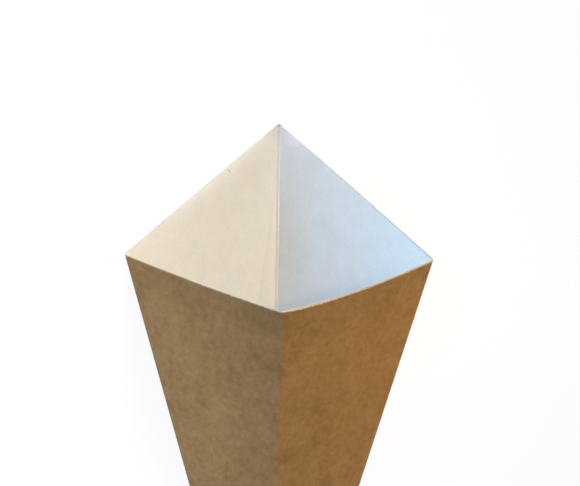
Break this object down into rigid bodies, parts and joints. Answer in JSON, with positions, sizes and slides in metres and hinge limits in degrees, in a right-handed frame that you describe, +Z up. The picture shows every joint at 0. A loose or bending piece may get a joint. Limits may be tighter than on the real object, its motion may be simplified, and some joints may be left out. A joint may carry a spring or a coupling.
{
  "type": "paper fries cone",
  "caption": "Pointed cone folded from kraft card, white inside, with a square mouth, a level front rim and a taller back that rises to a peak; it holds a portion of fries.",
  "frame": {"origin": "middle of the bottom of the box round the lying cone, on the surface that it lies on", "axes": "+Y from the tip to the mouth, +Z up off the panel it lies on, +X across, towards the back fold"},
  "size_m": [0.087, 0.2583, 0.0807],
  "materials": {
    "kraft_card": "matte"
  },
  "bodies": {
    "root": {"fries_cone": "kraft_card"}
  },
  "joints": []
}
